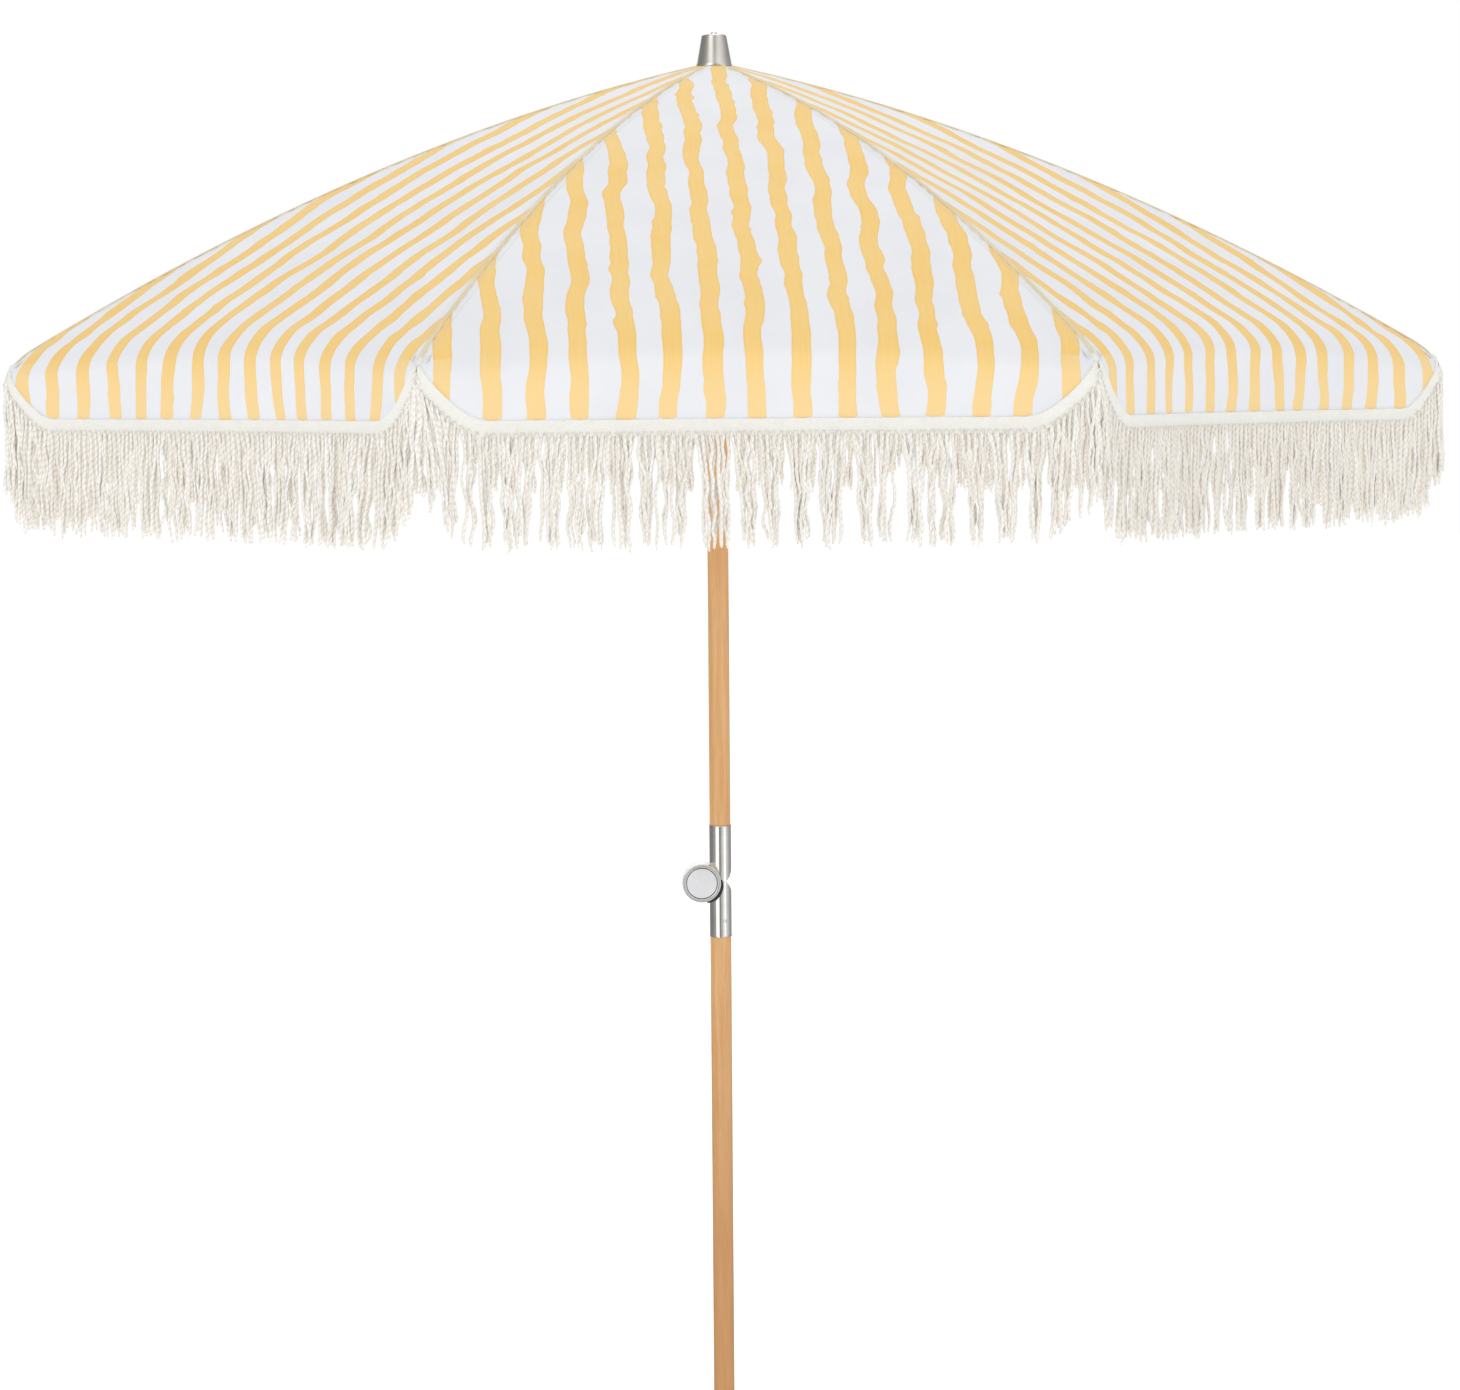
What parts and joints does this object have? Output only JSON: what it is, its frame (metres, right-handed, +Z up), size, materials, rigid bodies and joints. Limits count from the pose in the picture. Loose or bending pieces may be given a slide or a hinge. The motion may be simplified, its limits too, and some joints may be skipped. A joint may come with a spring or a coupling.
{
  "type": "beach umbrella",
  "caption": "Beach umbrella with a wooden tilting pole, folding ribs and struts, striped canvas canopy and a fringed scalloped valance.",
  "frame": {"origin": "centre of the flat tip at the pole's foot, on the pole's axis", "axes": "+Z up along the pole, -Y to the front, where one canopy panel is centred; +X to the right seen from the front"},
  "size_m": [1.81, 1.81, 2.2739],
  "materials": {
    "wood": "satin",
    "steel": "satin",
    "chrome": "polished",
    "coated_steel": "satin",
    "nylon": "matte",
    "badge": "satin",
    "canvas": "matte",
    "cotton": "matte"
  },
  "bodies": {
    "lower_pole_set": {"lower_pole": "wood", "lower_knuckle": "steel", "lower_rivet": "steel", "ground_point": "steel", "pivot_sleeve": "steel", "pivot_cap": "chrome"},
    "upper_pole_set": {"upper_pole": "wood", "upper_knuckle": "steel", "upper_rivet": "steel", "crown_hub": "steel", "hub_ring": "steel", "top_washer": "steel", "finial": "steel", "finial_screw": "steel", "runner_catch": "steel", "button_spring": "steel"},
    "tilt_button_set": {"tilt_button": "badge", "lock_plunger": "steel"},
    "runner": {"runner": "nylon"},
    "rib_1": {"rib_1": "coated_steel", "rib_tip_1": "nylon"},
    "strut_1": {"strut_1": "coated_steel"},
    "rib_2": {"rib_2": "coated_steel", "rib_tip_2": "nylon"},
    "strut_2": {"strut_2": "coated_steel"},
    "rib_3": {"rib_3": "coated_steel", "rib_tip_3": "nylon"},
    "strut_3": {"strut_3": "coated_steel"},
    "rib_4": {"rib_4": "coated_steel", "rib_tip_4": "nylon"},
    "strut_4": {"strut_4": "coated_steel"},
    "rib_5": {"rib_5": "coated_steel", "rib_tip_5": "nylon"},
    "strut_5": {"strut_5": "coated_steel"},
    "rib_6": {"rib_6": "coated_steel", "rib_tip_6": "nylon"},
    "strut_6": {"strut_6": "coated_steel"},
    "rib_7": {"rib_7": "coated_steel", "rib_tip_7": "nylon"},
    "strut_7": {"strut_7": "coated_steel"},
    "rib_8": {"rib_8": "coated_steel", "rib_tip_8": "nylon"},
    "strut_8": {"strut_8": "coated_steel"},
    "canopy_panel_1": {"canopy_panel_1": "canvas"},
    "valance_1": {"fringed_valance_1": "cotton"},
    "canopy_panel_2": {"canopy_panel_2": "canvas"},
    "valance_2": {"fringed_valance_2": "cotton"},
    "canopy_panel_3": {"canopy_panel_3": "canvas"},
    "valance_3": {"fringed_valance_3": "cotton"},
    "canopy_panel_4": {"canopy_panel_4": "canvas"},
    "valance_4": {"fringed_valance_4": "cotton"},
    "canopy_panel_5": {"canopy_panel_5": "canvas"},
    "valance_5": {"fringed_valance_5": "cotton"},
    "canopy_panel_6": {"canopy_panel_6": "canvas"},
    "valance_6": {"fringed_valance_6": "cotton"},
    "canopy_panel_7": {"canopy_panel_7": "canvas"},
    "valance_7": {"fringed_valance_7": "cotton"},
    "canopy_panel_8": {"canopy_panel_8": "canvas"},
    "valance_8": {"fringed_valance_8": "cotton"}
  },
  "joints": [
    {"name": "canopy_tilt", "type": "hinge", "parent": "lower_pole_set", "child": "upper_pole_set", "pos_m": [-0.027, 0, 1.1], "axis": [0, -1, 0], "range_deg": [0, 45]},
    {"name": "tilt_button_press", "type": "slide", "parent": "upper_pole_set", "child": "tilt_button_set", "axis": [0, 1, 0], "range_m": [0, 0.0035], "stiffness_N_per_m": 1500, "springref_m": -0.002, "deforming": ["button_spring"]},
    {"name": "canopy_fold", "type": "slide", "parent": "upper_pole_set", "child": "runner", "axis": [0, 0, -1], "range_m": [0, 0.5731], "deforming": ["runner_catch"]},
    {"name": "rib_1_fold", "type": "hinge", "parent": "upper_pole_set", "child": "rib_1", "pos_m": [0.02032, 0.00842, 2.215], "axis": [-0.3827, 0.9239, 0], "range_deg": [0, 64.06]},
    {"name": "strut_1_fold", "type": "hinge", "parent": "rib_1", "child": "strut_1", "pos_m": [0.39012, 0.16159, 2.08455], "axis": [0.3827, -0.9239, 0], "range_deg": [0, 128.11]},
    {"name": "rib_2_fold", "type": "hinge", "parent": "upper_pole_set", "child": "rib_2", "pos_m": [0.00842, 0.02032, 2.215], "axis": [-0.9239, 0.3827, 0], "range_deg": [0, 64.06]},
    {"name": "strut_2_fold", "type": "hinge", "parent": "rib_2", "child": "strut_2", "pos_m": [0.16159, 0.39012, 2.08455], "axis": [0.9239, -0.3827, 0], "range_deg": [0, 128.11]},
    {"name": "rib_3_fold", "type": "hinge", "parent": "upper_pole_set", "child": "rib_3", "pos_m": [-0.00842, 0.02032, 2.215], "axis": [-0.9239, -0.3827, 0], "range_deg": [0, 64.06]},
    {"name": "strut_3_fold", "type": "hinge", "parent": "rib_3", "child": "strut_3", "pos_m": [-0.16159, 0.39012, 2.08455], "axis": [0.9239, 0.3827, 0], "range_deg": [0, 128.11]},
    {"name": "rib_4_fold", "type": "hinge", "parent": "upper_pole_set", "child": "rib_4", "pos_m": [-0.02032, 0.00842, 2.215], "axis": [-0.3827, -0.9239, 0], "range_deg": [0, 64.06]},
    {"name": "strut_4_fold", "type": "hinge", "parent": "rib_4", "child": "strut_4", "pos_m": [-0.39012, 0.16159, 2.08455], "axis": [0.3827, 0.9239, 0], "range_deg": [0, 128.11]},
    {"name": "rib_5_fold", "type": "hinge", "parent": "upper_pole_set", "child": "rib_5", "pos_m": [-0.02032, -0.00842, 2.215], "axis": [0.3827, -0.9239, 0], "range_deg": [0, 64.06]},
    {"name": "strut_5_fold", "type": "hinge", "parent": "rib_5", "child": "strut_5", "pos_m": [-0.39012, -0.16159, 2.08455], "axis": [-0.3827, 0.9239, 0], "range_deg": [0, 128.11]},
    {"name": "rib_6_fold", "type": "hinge", "parent": "upper_pole_set", "child": "rib_6", "pos_m": [-0.00842, -0.02032, 2.215], "axis": [0.9239, -0.3827, 0], "range_deg": [0, 64.06]},
    {"name": "strut_6_fold", "type": "hinge", "parent": "rib_6", "child": "strut_6", "pos_m": [-0.16159, -0.39012, 2.08455], "axis": [-0.9239, 0.3827, 0], "range_deg": [0, 128.11]},
    {"name": "rib_7_fold", "type": "hinge", "parent": "upper_pole_set", "child": "rib_7", "pos_m": [0.00842, -0.02032, 2.215], "axis": [0.9239, 0.3827, 0], "range_deg": [0, 64.06]},
    {"name": "strut_7_fold", "type": "hinge", "parent": "rib_7", "child": "strut_7", "pos_m": [0.16159, -0.39012, 2.08455], "axis": [-0.9239, -0.3827, 0], "range_deg": [0, 128.11]},
    {"name": "rib_8_fold", "type": "hinge", "parent": "upper_pole_set", "child": "rib_8", "pos_m": [0.02032, -0.00842, 2.215], "axis": [0.3827, 0.9239, 0], "range_deg": [0, 64.06]},
    {"name": "strut_8_fold", "type": "hinge", "parent": "rib_8", "child": "strut_8", "pos_m": [0.39012, -0.16159, 2.08455], "axis": [-0.3827, -0.9239, 0], "range_deg": [0, 128.11]},
    {"name": "panel_1_fold", "type": "hinge", "parent": "upper_pole_set", "child": "canopy_panel_1", "pos_m": [0.02032, 0, 2.215], "axis": [0, 1, 0], "range_deg": [0, 62.52], "deforming": ["canopy_panel_1", "fringed_valance_1"]},
    {"name": "valance_1_hang", "type": "hinge", "parent": "canopy_panel_1", "child": "valance_1", "pos_m": [0.85921, 0, 1.8553], "axis": [0, -1, 0], "range_deg": [0, 62.52]},
    {"name": "panel_2_fold", "type": "hinge", "parent": "upper_pole_set", "child": "canopy_panel_2", "pos_m": [0.01437, 0.01437, 2.215], "axis": [-0.7071, 0.7071, 0], "range_deg": [0, 62.52], "deforming": ["canopy_panel_2", "fringed_valance_2"]},
    {"name": "valance_2_hang", "type": "hinge", "parent": "canopy_panel_2", "child": "valance_2", "pos_m": [0.60755, 0.60755, 1.8553], "axis": [0.7071, -0.7071, 0], "range_deg": [0, 62.52]},
    {"name": "panel_3_fold", "type": "hinge", "parent": "upper_pole_set", "child": "canopy_panel_3", "pos_m": [0, 0.02032, 2.215], "axis": [-1, 0, 0], "range_deg": [0, 62.52], "deforming": ["canopy_panel_3", "fringed_valance_3"]},
    {"name": "valance_3_hang", "type": "hinge", "parent": "canopy_panel_3", "child": "valance_3", "pos_m": [0, 0.85921, 1.8553], "axis": [1, 0, 0], "range_deg": [0, 62.52]},
    {"name": "panel_4_fold", "type": "hinge", "parent": "upper_pole_set", "child": "canopy_panel_4", "pos_m": [-0.01437, 0.01437, 2.215], "axis": [-0.7071, -0.7071, 0], "range_deg": [0, 62.52], "deforming": ["canopy_panel_4", "fringed_valance_4"]},
    {"name": "valance_4_hang", "type": "hinge", "parent": "canopy_panel_4", "child": "valance_4", "pos_m": [-0.60755, 0.60755, 1.8553], "axis": [0.7071, 0.7071, 0], "range_deg": [0, 62.52]},
    {"name": "panel_5_fold", "type": "hinge", "parent": "upper_pole_set", "child": "canopy_panel_5", "pos_m": [-0.02032, 0, 2.215], "axis": [0, -1, 0], "range_deg": [0, 62.52], "deforming": ["canopy_panel_5", "fringed_valance_5"]},
    {"name": "valance_5_hang", "type": "hinge", "parent": "canopy_panel_5", "child": "valance_5", "pos_m": [-0.85921, 0, 1.8553], "axis": [0, 1, 0], "range_deg": [0, 62.52]},
    {"name": "panel_6_fold", "type": "hinge", "parent": "upper_pole_set", "child": "canopy_panel_6", "pos_m": [-0.01437, -0.01437, 2.215], "axis": [0.7071, -0.7071, 0], "range_deg": [0, 62.52], "deforming": ["canopy_panel_6", "fringed_valance_6"]},
    {"name": "valance_6_hang", "type": "hinge", "parent": "canopy_panel_6", "child": "valance_6", "pos_m": [-0.60755, -0.60755, 1.8553], "axis": [-0.7071, 0.7071, 0], "range_deg": [0, 62.52]},
    {"name": "panel_7_fold", "type": "hinge", "parent": "upper_pole_set", "child": "canopy_panel_7", "pos_m": [0, -0.02032, 2.215], "axis": [1, 0, 0], "range_deg": [0, 62.52], "deforming": ["canopy_panel_7", "fringed_valance_7"]},
    {"name": "valance_7_hang", "type": "hinge", "parent": "canopy_panel_7", "child": "valance_7", "pos_m": [0, -0.85921, 1.8553], "axis": [-1, 0, 0], "range_deg": [0, 62.52]},
    {"name": "panel_8_fold", "type": "hinge", "parent": "upper_pole_set", "child": "canopy_panel_8", "pos_m": [0.01437, -0.01437, 2.215], "axis": [0.7071, 0.7071, 0], "range_deg": [0, 62.52], "deforming": ["canopy_panel_8", "fringed_valance_8"]},
    {"name": "valance_8_hang", "type": "hinge", "parent": "canopy_panel_8", "child": "valance_8", "pos_m": [0.60755, -0.60755, 1.8553], "axis": [-0.7071, -0.7071, 0], "range_deg": [0, 62.52]}
  ],
  "couplings": [
    {"joint": "rib_1_fold", "follows": "canopy_fold", "rad_per_m": 1.9505},
    {"joint": "strut_1_fold", "follows": "canopy_fold", "rad_per_m": 3.9011},
    {"joint": "rib_2_fold", "follows": "canopy_fold", "rad_per_m": 1.9505},
    {"joint": "strut_2_fold", "follows": "canopy_fold", "rad_per_m": 3.9011},
    {"joint": "rib_3_fold", "follows": "canopy_fold", "rad_per_m": 1.9505},
    {"joint": "strut_3_fold", "follows": "canopy_fold", "rad_per_m": 3.9011},
    {"joint": "rib_4_fold", "follows": "canopy_fold", "rad_per_m": 1.9505},
    {"joint": "strut_4_fold", "follows": "canopy_fold", "rad_per_m": 3.9011},
    {"joint": "rib_5_fold", "follows": "canopy_fold", "rad_per_m": 1.9505},
    {"joint": "strut_5_fold", "follows": "canopy_fold", "rad_per_m": 3.9011},
    {"joint": "rib_6_fold", "follows": "canopy_fold", "rad_per_m": 1.9505},
    {"joint": "strut_6_fold", "follows": "canopy_fold", "rad_per_m": 3.9011},
    {"joint": "rib_7_fold", "follows": "canopy_fold", "rad_per_m": 1.9505},
    {"joint": "strut_7_fold", "follows": "canopy_fold", "rad_per_m": 3.9011},
    {"joint": "rib_8_fold", "follows": "canopy_fold", "rad_per_m": 1.9505},
    {"joint": "strut_8_fold", "follows": "canopy_fold", "rad_per_m": 3.9011},
    {"joint": "panel_1_fold", "follows": "canopy_fold", "rad_per_m": 1.9037},
    {"joint": "valance_1_hang", "follows": "canopy_fold", "rad_per_m": 1.9037},
    {"joint": "panel_2_fold", "follows": "canopy_fold", "rad_per_m": 1.9037},
    {"joint": "valance_2_hang", "follows": "canopy_fold", "rad_per_m": 1.9037},
    {"joint": "panel_3_fold", "follows": "canopy_fold", "rad_per_m": 1.9037},
    {"joint": "valance_3_hang", "follows": "canopy_fold", "rad_per_m": 1.9037},
    {"joint": "panel_4_fold", "follows": "canopy_fold", "rad_per_m": 1.9037},
    {"joint": "valance_4_hang", "follows": "canopy_fold", "rad_per_m": 1.9037},
    {"joint": "panel_5_fold", "follows": "canopy_fold", "rad_per_m": 1.9037},
    {"joint": "valance_5_hang", "follows": "canopy_fold", "rad_per_m": 1.9037},
    {"joint": "panel_6_fold", "follows": "canopy_fold", "rad_per_m": 1.9037},
    {"joint": "valance_6_hang", "follows": "canopy_fold", "rad_per_m": 1.9037},
    {"joint": "panel_7_fold", "follows": "canopy_fold", "rad_per_m": 1.9037},
    {"joint": "valance_7_hang", "follows": "canopy_fold", "rad_per_m": 1.9037},
    {"joint": "panel_8_fold", "follows": "canopy_fold", "rad_per_m": 1.9037},
    {"joint": "valance_8_hang", "follows": "canopy_fold", "rad_per_m": 1.9037}
  ]
}
